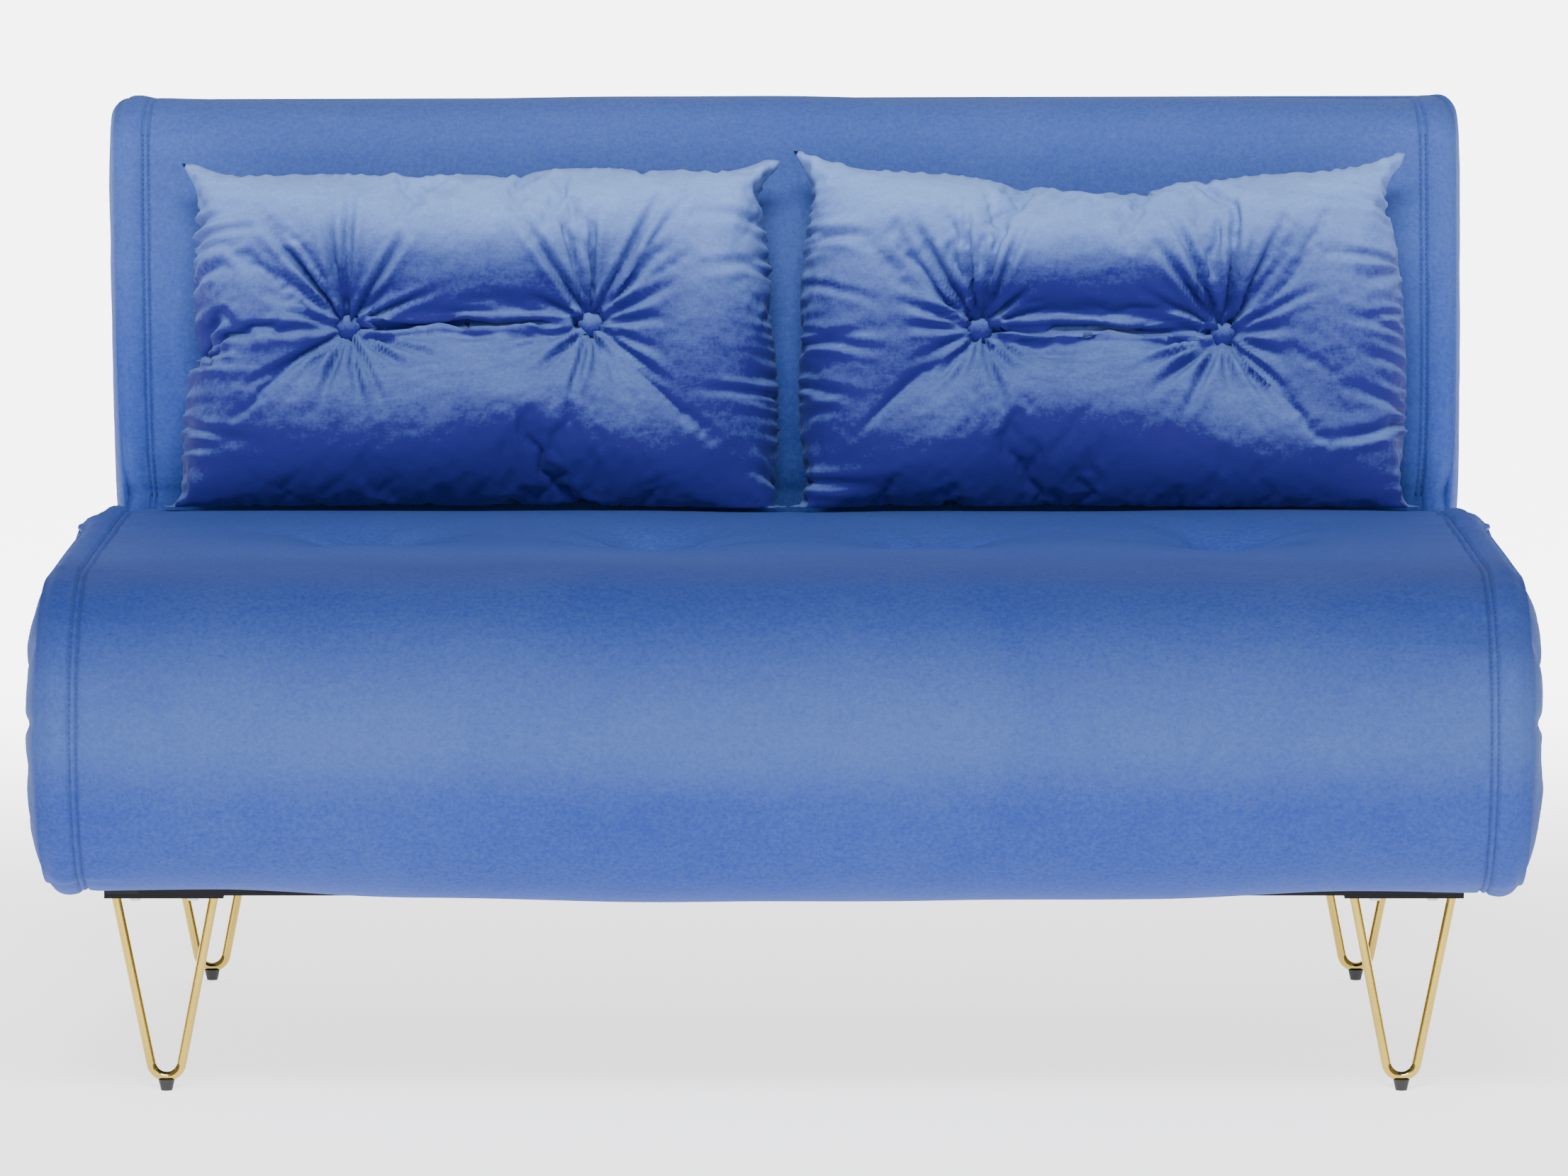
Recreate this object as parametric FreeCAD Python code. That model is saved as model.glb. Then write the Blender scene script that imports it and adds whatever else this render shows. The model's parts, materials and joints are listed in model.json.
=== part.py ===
"""Futon sofa bed: a long folded mattress on a black steel frame with hairpin legs.

Row frame: +Z up, front of the sofa towards -Y, origin on the floor at the middle of the sofa's
width and depth. Millimetres. Positions along the depth are first written as a distance back from
the frontmost point of the mattress, and back(d) turns such a distance into Y.
"""
import FreeCAD
import Part
import math
import os
from FreeCAD import Vector

# Overall
WIDTH = 1220.0              # mattress, side to side
DEPTH = 881.3               # frontmost mattress to the backs of the stowed drop leg's brackets
HEIGHT = 803.0              # floor to the top of the backrest mattress

# Mattress: one long pad in four stretches: back, seat, front roll, foot
SEAT_TOP = 453.0
SEAT_BOTTOM = 343.0
FOOT_BOTTOM = 184.0
FOOT_TOP = 292.0
FOOT_REAR = 708.0           # distance back of the folded foot stretch's end
ROLL_DEPTH = 135.0          # distance back of the two fold lines of the front roll
ROLL_INNER = 25.0           # radius inside the fold
ROLL_SQUARENESS = 2.15      # superellipse power of the rounded front
PAD_GAP = 1.5               # half the slack between two mattress stretches

# Backrest hinge
PIVOT_BACK = 745.0          # distance back of the backrest pivot
PIVOT_Z = 323.0
BACK_TILT = 75.0            # backrest above horizontal, degrees
BACK_ROUND = 45.0           # rounding of the backrest mattress's top edge

# Square tubes of the frame
TUBE = 25.0
TUBE_WALL = 1.5
RAIL_WIDE = 30.0
RAIL_X = 540.0              # inner face of the side rails
LOWER_HIGH = 13.0           # height of the flat tubes of the lower frame
LOWER_Z = 168.0             # underside of the lower frame
UPPER_Z = 310.0             # underside of the seat frame
FRAME_FRONT = 205.0         # distance back of the lower frame's front
FRAME_REAR = 800.0
SEAT_FRAME_FRONT = 168.0

# Slats
SLAT_THICK = 8.0
SLAT_WIDE = 50.0
SEAT_SLATS = 7
BACK_SLATS = 6

# Pins of the drop leg
PIN_RADIUS = 4.0
PIN_CLEAR = 0.06

# Hairpin legs
HAIRPIN_X = 520.0
HAIRPIN_BACK = (220.0, 776.0)
HAIRPIN_ROD = 4.0           # rod radius
HAIRPIN_SPREAD = 41.0       # half the distance between the rods at the plate
HAIRPIN_BEND = 13.0         # centreline radius of the bend at the foot
HAIRPIN_LOW = 11.5          # height of the bend's lowest centreline point
PLATE_THICK = 2.5
FOOT_RADIUS = (4.8, 7.0)    # rubber foot, at the floor and at the top
FOOT_HIGH = 9.5

# Scatter cushions
CUSHION_WIDE = 520.0
CUSHION_HIGH = 305.0
CUSHION_THICK = 112.0
CUSHION_EDGE = 24.0
CUSHION_X = 267.0
CUSHION_N = 190.0           # centre plane, out from the pivot
CUSHION_S = 91.0            # lower edge, up along the backrest from the pivot
BUTTON_X = 105.0            # half the distance between a cushion's two buttons
BUTTON_RADIUS = 10.5
BUTTON_DEEP = 34.0          # depth of the tuft
TUFT_RADIUS = 52.0

SIDES = (("left", -1), ("right", 1))
NODES = {}


def back(distance):
    """Y of a point that lies this far behind the frontmost point of the mattress."""
    return distance - DEPTH / 2


PIVOT = Vector(0, back(PIVOT_BACK), PIVOT_Z)


def box(x0, x1, y0, y1, z0, z1):
    """A box from its limits, in any order; the depth limits are distances back."""
    low = Vector(min(x0, x1), back(min(y0, y1)), min(z0, z1))
    size = (abs(x1 - x0), abs(y1 - y0), abs(z1 - z0))
    return Part.makeBox(*size, low)


def hollow(shape_limits, along):
    """A rectangular tube between limits, open at the ends of the axis named by along."""
    x0, x1, y0, y1, z0, z1 = shape_limits
    wall = {axis: 0 if axis == along else TUBE_WALL for axis in "xyz"}
    inner = box(min(x0, x1) + wall["x"], max(x0, x1) - wall["x"],
                y0 + wall["y"], y1 - wall["y"], z0 + wall["z"], z1 - wall["z"])
    return box(*shape_limits).cut(inner)


def rod(start, end, radius):
    """A round bar between two points."""
    along = end - start
    return Part.makeCylinder(radius, along.Length, start, along)


def prism(points, half_width):
    """A solid of this (distance back, z) outline, from -half_width to +half_width in X."""
    corners = [Vector(-half_width, back(y), z) for y, z in points]
    face = Part.Face(Part.makePolygon(corners + corners[:1]))
    return face.extrude(Vector(2 * half_width, 0, 0))


def raise_back(shape):
    """Turns a shape built with the backrest lying flat up to its resting tilt."""
    turned = shape.copy()
    turned.rotate(PIVOT, Vector(1, 0, 0), BACK_TILT)
    return turned


def keep(node, *solids):
    """Stores a node as one solid, or as a group of separate ones."""
    NODES[node] = solids[0] if len(solids) == 1 else Part.makeCompound(list(solids))


def slats(count, first, last, x_limit, z0):
    """Evenly spaced cross slats whose first and last front edges are given."""
    step = (last - first) / (count - 1)
    return [box(-x_limit, x_limit, first + i * step, first + i * step + SLAT_WIDE, z0, z0 + SLAT_THICK)
            for i in range(count)]


# ---- lower frame, posts and seat frame ------------------------------------------------------

def make_fixed_frame():
    lower_top = LOWER_Z + LOWER_HIGH
    upper_top = UPPER_Z + TUBE
    for name, s in SIDES:
        rail = (s * RAIL_X, s * (RAIL_X + RAIL_WIDE))
        keep(f"lower_rail_{name}", hollow((*rail, FRAME_FRONT, FRAME_REAR, LOWER_Z, lower_top), "y"))
        keep(f"rear_post_{name}",
             hollow((*rail, FRAME_REAR - RAIL_WIDE, FRAME_REAR, lower_top, UPPER_Z), "z"))
        keep(f"seat_rail_{name}",
             hollow((*rail, SEAT_FRAME_FRONT, FRAME_REAR, UPPER_Z, upper_top), "y"))
        keep(f"gusset_{name}", gusset(s, lower_top))
    cross = (-RAIL_X, RAIL_X)
    keep("lower_rail_front",
         hollow((*cross, FRAME_FRONT, FRAME_FRONT + RAIL_WIDE, LOWER_Z, lower_top), "x"))
    keep("lower_rail_rear",
         hollow((*cross, FRAME_REAR - RAIL_WIDE, FRAME_REAR, LOWER_Z, lower_top), "x"))
    keep("seat_rail_front",
         hollow((*cross, SEAT_FRAME_FRONT, SEAT_FRAME_FRONT + TUBE, UPPER_Z, upper_top), "x"))
    keep("seat_rail_rear", hollow((*cross, 690, 690 + TUBE, UPPER_Z, upper_top), "x"))
    keep("seat_slats", *slats(SEAT_SLATS, 175, 640, RAIL_X + RAIL_WIDE, upper_top))
    cover_thick = 2.0
    front_of_posts = FRAME_REAR - RAIL_WIDE - 2
    outer_x, inner_x = RAIL_X + RAIL_WIDE, RAIL_X - 2
    cover = box(-outer_x, outer_x, FRAME_FRONT, front_of_posts, lower_top, lower_top + cover_thick)
    between = box(-inner_x, inner_x, front_of_posts, FRAME_REAR, lower_top, lower_top + cover_thick)
    keep("underside_cover", cover.fuse(between).removeSplitter())


def plug(x0, x1, y0, y1, z0, z1, end, depth=12.0):
    """Plastic plug that fills one end (-1 front, 1 rear) of a tube that runs along the depth."""
    front, rear = (y0, y0 + depth) if end < 0 else (y1 - depth, y1)
    left, right = min(x0, x1) + TUBE_WALL, max(x0, x1) - TUBE_WALL
    return box(left, right, front, rear, z0 + TUBE_WALL, z1 - TUBE_WALL)


def make_plugs():
    plugs = []
    for _, s in SIDES:
        rail = (s * RAIL_X, s * (RAIL_X + RAIL_WIDE))
        for end in (-1, 1):
            plugs.append(plug(*rail, FRAME_FRONT, FRAME_REAR, LOWER_Z, LOWER_Z + LOWER_HIGH, end))
            plugs.append(plug(*rail, SEAT_FRAME_FRONT, FRAME_REAR, UPPER_Z, UPPER_Z + TUBE, end))
    keep("rail_end_plugs", *plugs)


def gusset(s, lower_top):
    """Triangular plates inside each rear post, at its foot and at its head."""
    leg = 55.0
    thick = 3.0
    front = FRAME_REAR - RAIL_WIDE
    low_z = lower_top + 2.0
    plates = []
    for corner_z, way in ((low_z, 1), (UPPER_Z, -1)):
        outline = [(front, corner_z), (front - leg, corner_z), (front, corner_z + way * leg * 0.8)]
        plate = prism(outline, thick / 2)
        plate.translate(Vector(s * (RAIL_X + RAIL_WIDE / 2), 0, 0))
        plates.append(plate)
    return Part.makeCompound(plates)


# ---- hairpin legs ---------------------------------------------------------------------------

def hairpin(centre_x, centre_y):
    """One bent rod: two straight runs and the arc that joins them at the foot."""
    top = LOWER_Z - PLATE_THICK
    arc_centre_z = HAIRPIN_LOW + HAIRPIN_BEND
    rise = top - arc_centre_z
    reach = math.hypot(HAIRPIN_SPREAD, rise)
    lean = math.atan2(HAIRPIN_SPREAD, rise) - math.asin(HAIRPIN_BEND / reach)
    tangent = Vector(HAIRPIN_BEND * math.cos(lean), 0, -HAIRPIN_BEND * math.sin(lean))
    centre = Vector(centre_x, back(centre_y), arc_centre_z)
    right = centre + tangent
    left = centre + Vector(-tangent.x, 0, tangent.z)
    head_right = Vector(centre_x + HAIRPIN_SPREAD, back(centre_y), top)
    head_left = Vector(centre_x - HAIRPIN_SPREAD, back(centre_y), top)
    low = centre - Vector(0, 0, HAIRPIN_BEND)
    path = Part.Wire([Part.LineSegment(head_left, left).toShape(),
                      Part.Arc(left, low, right).toShape(),
                      Part.LineSegment(right, head_right).toShape()])
    ring = Part.Wire(Part.makeCircle(HAIRPIN_ROD, head_left, left - head_left))
    swept = path.makePipeShell([ring], True, False)
    level = box(centre_x - 80, centre_x + 80, centre_y - 30, centre_y + 30, 0, top)
    return swept.common(level)


def hairpin_plate(centre_x, centre_y):
    """Mounting plate with four screw holes."""
    top = LOWER_Z
    plate = box(centre_x - 50, centre_x + 50, centre_y - 15, centre_y + 15, top - PLATE_THICK, top)
    for x, y in plate_holes(centre_x, centre_y):
        hole = Part.makeCylinder(2.7, PLATE_THICK * 3, Vector(x, back(y), top - 2 * PLATE_THICK))
        plate = plate.cut(hole)
    return plate


def plate_holes(centre_x, centre_y):
    return [(centre_x + dx, centre_y + dy) for dx in (-24, 24) for dy in (-9, 9)]


def plate_screw(x, y):
    """Pan-head screw: shank through the plate, head below it."""
    face = LOWER_Z - PLATE_THICK
    shank = Part.makeCylinder(2.4, PLATE_THICK, Vector(x, back(y), face))
    head = Part.makeCylinder(4.6, 2.4, Vector(x, back(y), face - 2.4))
    head = head.makeFillet(1.2, [head.Edges[2]])
    return shank.fuse(head)


def rubber_foot(centre_x, centre_y):
    """Tapered cap pushed onto the bend, hollowed by the rod it grips."""
    bottom_r, top_r = FOOT_RADIUS
    cone = Part.makeCone(bottom_r, top_r, FOOT_HIGH, Vector(centre_x, back(centre_y), 0))
    return cone.cut(hairpin(centre_x, centre_y))


def make_hairpins():
    for place, y in zip(("front", "rear"), HAIRPIN_BACK):
        for name, s in SIDES:
            x = s * HAIRPIN_X
            keep(f"{place}_{name}_hairpin", hairpin(x, y))
            keep(f"{place}_{name}_leg_plate", hairpin_plate(x, y))
            keep(f"{place}_{name}_foot", rubber_foot(x, y))
    screws = [plate_screw(hx, hy) for y in HAIRPIN_BACK for _, s in SIDES
              for hx, hy in plate_holes(s * HAIRPIN_X, y)]
    keep("leg_screws", *screws)


# ---- backrest -------------------------------------------------------------------------------

def make_backrest():
    """Built lying flat behind the pivot, then raised."""
    tube_x = 504.0
    start, end = PIVOT_BACK + 25, PIVOT_BACK + 440
    z0, z1 = PIVOT_Z - TUBE / 2, PIVOT_Z + TUBE / 2
    for name, s in SIDES:
        side = hollow((s * tube_x, s * (tube_x + TUBE), start, end, z0, z1), "y")
        keep(f"backrest_tube_{name}", raise_back(side))
        keep(f"hinge_arm_{name}", raise_back(hinge_arm(s, tube_x + TUBE)))
        keep(f"hinge_plate_{name}", hinge_plate(s))
        keep(f"hinge_bolt_{name}", hinge_bolt(s, tube_x + TUBE))
    plugs = [plug(s * tube_x, s * (tube_x + TUBE), start, end, z0, z1, way)
             for _, s in SIDES for way in (-1, 1)]
    keep("backrest_end_plugs", *[raise_back(p) for p in plugs])
    for name, y in (("lower", start), ("upper", end - TUBE)):
        bar = hollow((-tube_x, tube_x, y, y + TUBE, z0, z1), "x")
        keep(f"backrest_crossbar_{name}", raise_back(bar))
    laid = slats(BACK_SLATS, PIVOT_BACK + 40, end - SLAT_WIDE, tube_x + TUBE, z1)
    lowered = [raise_back(s.common(box(-900, 900, 0, 2000, z1, z1 + 7.0))) for s in laid]
    keep("backrest_slats", *lowered)


def hinge_arm(s, tube_face):
    """Toothed ratchet arm on the outer face of a backrest tube, turning on the hinge bolt."""
    thick = 5.0
    x0 = s * tube_face
    way = Vector(s, 0, 0)
    centre = Vector(x0, back(PIVOT_BACK), PIVOT_Z)
    arm = box(x0, x0 + s * thick, PIVOT_BACK, PIVOT_BACK + 110, PIVOT_Z - 12, PIVOT_Z + 12)
    disc = Part.makeCylinder(20.0, thick, centre, way)
    arm = arm.fuse(disc)
    teeth = 9
    for i in range(teeth):
        angle = math.radians(150 + i * 12)
        notch = Vector(x0 - s, centre.y + 20.5 * math.cos(angle), PIVOT_Z + 20.5 * math.sin(angle))
        arm = arm.cut(Part.makeCylinder(1.8, thick + 2, notch, way))
    bore = Part.makeCylinder(5.0 + PIN_CLEAR, thick + 4, centre - way * 2, way)
    return arm.cut(bore).removeSplitter()


def hinge_plate(s):
    """Fixed plate on the inner face of a seat rail that holds the hinge bolt."""
    thick = 4.5
    inner = RAIL_X - thick
    plate = box(s * inner, s * RAIL_X, PIVOT_BACK - 28, PIVOT_BACK + 36, UPPER_Z + 1, PIVOT_Z + 20)
    bore = Part.makeCylinder(5.0, 20, Vector(s * (inner - 5), back(PIVOT_BACK), PIVOT_Z), Vector(s, 0, 0))
    return plate.cut(bore)


def hinge_bolt(s, tube_face):
    """Shoulder bolt: shaft from the fixed plate through the arm, with a head inside."""
    head_thick = 4.0
    inner = tube_face - 1.0
    way = Vector(s, 0, 0)
    start = Vector(s * inner, back(PIVOT_BACK), PIVOT_Z)
    shaft = Part.makeCylinder(5.0, RAIL_X - inner, start, way)
    head = Part.makeCylinder(9.0, head_thick, start - way * head_thick, way)
    return shaft.fuse(head)


def make_back_leg():
    """Drop leg behind the backrest: two tubes and a foot bar, hanging from two pins."""
    pivot_s = 395.0
    n = -24.0
    leg_x = 380.0
    radius = 8.0
    y = PIVOT_BACK + pivot_s
    z = PIVOT_Z + n
    length = z - 2.0
    for name, s in SIDES:
        x = s * leg_x
        pivot = Vector(x, back(y), z)
        tube = rod(pivot, pivot - Vector(0, length - 2 * radius, 0), radius)
        tube = tube.fuse(Part.makeSphere(radius, pivot))
        bore = Part.makeCylinder(PIN_RADIUS + PIN_CLEAR, 40, pivot - Vector(20, 0, 0), Vector(1, 0, 0))
        keep(f"drop_leg_tube_{name}", raise_back(tube.cut(bore)))
        ears = []
        for ear_x in (x - radius - 4.0, x + radius + 1.0):
            ear = box(ear_x, ear_x + 3.0, y - 12, y + 12, z - 8, PIVOT_Z - TUBE / 2)
            eye = Part.makeCylinder(PIN_RADIUS, 8, Vector(ear_x - 2, back(y), z), Vector(1, 0, 0))
            ears.append(raise_back(ear.cut(eye)))
        strap = box(x - radius - 4.0, x + radius + 4.0, y - 12, y + 20, PIVOT_Z - TUBE / 2,
                    PIVOT_Z - TUBE / 2 + 2)
        strap = strap.cut(box(-900, 900, y + 20, y + 60, 0, 900))
        bracket = ears[0].fuse([ears[1], raise_back(strap)]).removeSplitter()
        keep(f"drop_leg_bracket_{name}", bracket)
        pin = Part.makeCylinder(PIN_RADIUS, 2 * radius + 8, pivot - Vector(radius + 4, 0, 0),
                                Vector(1, 0, 0))
        keep(f"drop_leg_pin_{name}", raise_back(pin))
    end_y = back(y) - (length - 2 * radius) - radius
    bar = rod(Vector(-leg_x - radius, end_y, z), Vector(leg_x + radius, end_y, z), radius)
    keep("drop_leg_foot_bar", raise_back(bar))


# ---- mattress -------------------------------------------------------------------------------

def front_curve(depth, half_high, power, steps=28):
    """Points of a rounded front, from the upper fold line round to the lower one."""
    mid_z = (SEAT_TOP + FOOT_BOTTOM) / 2
    points = []
    for i in range(steps + 1):
        angle = math.pi * i / steps
        y = ROLL_DEPTH - depth * math.sin(angle) ** (2 / power)
        lift = abs(math.cos(angle)) ** (2 / power)
        points.append((y, mid_z + math.copysign(half_high * lift, math.cos(angle))))
    return points


def make_mattress():
    half_width = WIDTH / 2
    slope = math.tan(math.radians(BACK_TILT / 2))
    top_n, bottom_n = SEAT_TOP - PIVOT_Z, SEAT_BOTTOM - PIVOT_Z
    start = ROLL_DEPTH + PAD_GAP
    keep("seat_mattress", prism([(start, SEAT_BOTTOM), (start, SEAT_TOP),
                                 (PIVOT_BACK - top_n * slope - PAD_GAP, SEAT_TOP),
                                 (PIVOT_BACK - bottom_n * slope - PAD_GAP, SEAT_BOTTOM)], half_width))
    outer = front_curve(ROLL_DEPTH, (SEAT_TOP - FOOT_BOTTOM) / 2, ROLL_SQUARENESS)
    inner = front_curve(ROLL_INNER, (SEAT_BOTTOM - FOOT_TOP) / 2, 2.0)
    keep("front_roll_mattress", prism(outer + inner[::-1], half_width))
    foot = prism([(start, FOOT_BOTTOM), (start, FOOT_TOP), (FOOT_REAR, FOOT_TOP),
                  (FOOT_REAR, FOOT_BOTTOM)], half_width)
    tail = [e for e in foot.Edges
            if abs(e.CenterOfMass.y - back(FOOT_REAR)) < 1 and e.Length > WIDTH - 1]
    keep("foot_mattress", foot.makeFillet(20.0, tail))

    back_end = PIVOT_BACK + backrest_length()
    rest = prism([(PIVOT_BACK + bottom_n * slope + PAD_GAP, SEAT_BOTTOM),
                  (PIVOT_BACK + top_n * slope + PAD_GAP, SEAT_TOP),
                  (back_end, SEAT_TOP), (back_end, SEAT_BOTTOM)], half_width)
    far = [e for e in rest.Edges if abs(e.CenterOfMass.y - back(back_end)) < 1 and e.Length > WIDTH - 1]
    keep("back_mattress", raise_back(rest.makeFillet(BACK_ROUND, far)))


def backrest_length():
    """Length of the backrest mattress from the pivot, so that its rounded top is HEIGHT tall."""
    tilt = math.radians(BACK_TILT)
    round_n = SEAT_TOP - PIVOT_Z - BACK_ROUND
    centre_z = HEIGHT - BACK_ROUND
    along = (centre_z - PIVOT_Z - round_n * math.cos(tilt)) / math.sin(tilt)
    return along + BACK_ROUND


# ---- scatter cushions -----------------------------------------------------------------------

def cushion_section(wide, high, n):
    """Rectangle at one level through a cushion, laid flat."""
    mid = PIVOT_BACK + CUSHION_S + CUSHION_HIGH / 2
    z = PIVOT_Z + CUSHION_N + n
    corners = [Vector(dx * wide / 2, back(mid) + dy * high / 2, z)
               for dx, dy in ((-1, -1), (1, -1), (1, 1), (-1, 1))]
    return Part.makePolygon(corners + corners[:1])


def make_cushions():
    half = CUSHION_THICK / 2
    levels = ((0.72, 0.52, -half), (1, 1, -CUSHION_EDGE / 2), (1, 1, CUSHION_EDGE / 2), (0.72, 0.52, half))
    wires = [cushion_section(CUSHION_WIDE * a, CUSHION_HIGH * b, n) for a, b, n in levels]
    plain = Part.makeLoft(wires, True, True)
    mid_y = back(PIVOT_BACK + CUSHION_S + CUSHION_HIGH / 2)
    mid_z = PIVOT_Z + CUSHION_N
    floor_n = half - BUTTON_DEEP
    for name, s in SIDES:
        body = plain.copy()
        buttons = []
        cords = []
        for dx in (-BUTTON_X, BUTTON_X):
            for way in (-1, 1):
                tuft = Part.makeCone(BUTTON_RADIUS + 2, TUFT_RADIUS, BUTTON_DEEP,
                                     Vector(dx, mid_y, mid_z + way * floor_n), Vector(0, 0, way))
                body = body.cut(tuft)
                seat = Vector(dx, mid_y, mid_z + way * (floor_n + 0.5))
                button = Part.makeCylinder(BUTTON_RADIUS, 6, seat, Vector(0, 0, way))
                crown = [e for e in button.Edges
                         if abs(e.CenterOfMass.z - (seat.z + way * 6)) < 0.1 and e.Closed]
                buttons.append(button.makeFillet(3.0, crown[:1]))
            hole = Part.makeCylinder(2.5, 2 * half, Vector(dx, mid_y, mid_z - half))
            body = body.cut(hole)
            cords.append(Part.makeCylinder(1.2, 2 * floor_n + 1, Vector(dx, mid_y, mid_z - floor_n - 0.5)))
        shift = Vector(s * CUSHION_X, 0, 0)
        groups = (("cushion", [body]), ("cushion_buttons", buttons), ("cushion_tuft_cords", cords))
        for node, solids in groups:
            placed = []
            for solid in solids:
                solid = raise_back(solid)
                solid.translate(shift)
                placed.append(solid)
            keep(f"{node}_{name}", *placed)


def export():
    os.makedirs("parts", exist_ok=True)
    for node, shape in NODES.items():
        shape.exportStep(f"parts/{node}.step")
    whole = Part.makeCompound(list(NODES.values())).BoundBox
    print(f"{len(NODES)} nodes, box x {whole.XMin:.1f} {whole.XMax:.1f} "
          f"y {whole.YMin:.1f} {whole.YMax:.1f} z {whole.ZMin:.1f} {whole.ZMax:.1f}")


make_fixed_frame()
make_plugs()
make_hairpins()
make_backrest()
make_back_leg()
make_mattress()
make_cushions()
export()
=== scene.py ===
"""Futon sofa bed: soft pieces, finishes, floor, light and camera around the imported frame."""
import json
import math
import random
import bpy
import numpy as np
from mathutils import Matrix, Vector, noise


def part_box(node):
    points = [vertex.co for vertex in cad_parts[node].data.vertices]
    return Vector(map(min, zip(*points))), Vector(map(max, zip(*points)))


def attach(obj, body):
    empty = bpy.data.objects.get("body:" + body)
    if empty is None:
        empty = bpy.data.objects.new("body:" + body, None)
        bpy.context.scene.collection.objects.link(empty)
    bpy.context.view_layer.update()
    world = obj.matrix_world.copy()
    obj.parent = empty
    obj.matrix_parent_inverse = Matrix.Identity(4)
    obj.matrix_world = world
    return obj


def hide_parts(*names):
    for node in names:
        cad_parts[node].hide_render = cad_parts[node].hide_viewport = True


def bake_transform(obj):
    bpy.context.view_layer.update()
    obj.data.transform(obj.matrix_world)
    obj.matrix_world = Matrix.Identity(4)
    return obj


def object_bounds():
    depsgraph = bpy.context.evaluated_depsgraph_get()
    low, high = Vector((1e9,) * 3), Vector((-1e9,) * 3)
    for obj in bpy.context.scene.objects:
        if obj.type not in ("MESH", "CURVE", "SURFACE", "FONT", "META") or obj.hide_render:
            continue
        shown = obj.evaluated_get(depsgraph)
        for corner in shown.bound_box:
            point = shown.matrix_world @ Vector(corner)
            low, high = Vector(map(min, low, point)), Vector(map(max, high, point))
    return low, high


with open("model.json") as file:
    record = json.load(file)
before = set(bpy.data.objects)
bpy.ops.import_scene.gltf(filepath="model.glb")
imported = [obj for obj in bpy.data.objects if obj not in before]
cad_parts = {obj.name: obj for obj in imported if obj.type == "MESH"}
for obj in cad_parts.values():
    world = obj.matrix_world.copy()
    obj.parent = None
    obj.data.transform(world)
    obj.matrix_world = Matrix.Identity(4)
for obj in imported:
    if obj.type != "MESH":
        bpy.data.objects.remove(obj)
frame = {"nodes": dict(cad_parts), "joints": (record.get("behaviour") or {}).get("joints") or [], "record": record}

CAD_LOW, CAD_HIGH = [list(v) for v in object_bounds()]
FRONT = CAD_LOW[1]
random.seed(7)

# Mattress, in metres: distance back from its front, and height
BACK_ROUND = 0.045          # rounding of the backrest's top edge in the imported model
ROLL_DEPTH = 0.135          # centre of the front roll's bend
ROLL_INNER = 0.025          # how far the inside of the bend reaches forward of that
ROLL_POWER, HUB_POWER = 2.15, 2.0   # superellipse powers of the outside and the inside of the roll
BACK_CAP, FOOT_CAP = 0.052, 0.03    # lengths of the rounded ends
STATION_STEP, FOOT_STEP = 0.0048, 0.008
SEAT_LOW, SEAT_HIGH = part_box("seat_mattress")
FOOT_LOW, FOOT_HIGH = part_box("foot_mattress")
SEAT_TOP, SEAT_UNDER = SEAT_HIGH[2], SEAT_LOW[2]
FOOT_UNDER, FOOT_OVER = FOOT_LOW[2], FOOT_HIGH[2]
FOOT_END = FOOT_HIGH[1] - FRONT
HINGE = next(j for j in frame["joints"] if j["name"] == "back_recline")
PIVOT = (HINGE["pos_m"][1] - FRONT, HINGE["pos_m"][2])
TILT = math.radians(HINGE["range_deg"][1])
UP = (math.cos(TILT), math.sin(TILT))
OUT = (-math.sin(TILT), math.cos(TILT))
THICK_LOW = SEAT_UNDER - PIVOT[1]
THICK_HIGH = SEAT_TOP - PIVOT[1]
BACK_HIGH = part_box("back_mattress")[1][2]
BACK_LENGTH = (BACK_HIGH - BACK_ROUND - PIVOT[1] - (THICK_HIGH - BACK_ROUND) * OUT[1]) / UP[1] + BACK_ROUND

# Across the mattress, from its middle
EDGE_X = 0.607              # the side edge
SEAM_X = 0.5775             # the long seam
BULGE = 0.0095              # how far the boxed side swells
STITCH_OFF = 0.0027         # each row of topstitching from the seam
STITCH_PITCH, THREAD_RADIUS = 0.0045, 0.00055
TUFT_DEPTH = 0.385
TUFTS = ((-0.356, 0.0), (-0.114, 0.002), (0.124, -0.001), (0.374, 0.003))   # place across, shift back
SEAM_COLUMNS = (-0.0165, -0.0120, -0.0085, -0.0063, -0.0048, -0.0037, -0.0027, -0.0017, -0.0007, 0.0007,
                0.0017, 0.0027, 0.0037, 0.0048, 0.0063, 0.0090, 0.0125, 0.0165, 0.0205, 0.0240)


def on_back(s, n):
    """(distance back, height) of a point s up the backrest and n out of it."""
    return PIVOT[0] + s * UP[0] + n * OUT[0], PIVOT[1] + s * UP[1] + n * OUT[1]


def smooth(edge0, edge1, x):
    """0 at edge0 to 1 at edge1, softly."""
    t = np.clip((x - edge0) / (edge1 - edge0), 0, 1)
    return t * t * (3 - 2 * t)


def superellipse(depth, half_high, power, count):
    """Half a superellipse that opens backwards, from the seat's height to the foot's."""
    angles = np.linspace(0, math.pi, count)
    mid = (SEAT_TOP + FOOT_UNDER) / 2
    d = ROLL_DEPTH - depth * np.sin(angles) ** (2 / power)
    z = mid + np.sign(np.cos(angles)) * half_high * np.abs(np.cos(angles)) ** (2 / power)
    return np.stack([d, z], 1)


def resample(points, count):
    """The same polyline with evenly spaced points."""
    steps = np.linalg.norm(np.diff(points, axis=0), axis=1)
    along = np.concatenate([[0], np.cumsum(steps)])
    want = np.linspace(0, along[-1], count)
    return np.stack([np.interp(want, along, points[:, i]) for i in range(2)], 1)


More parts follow.
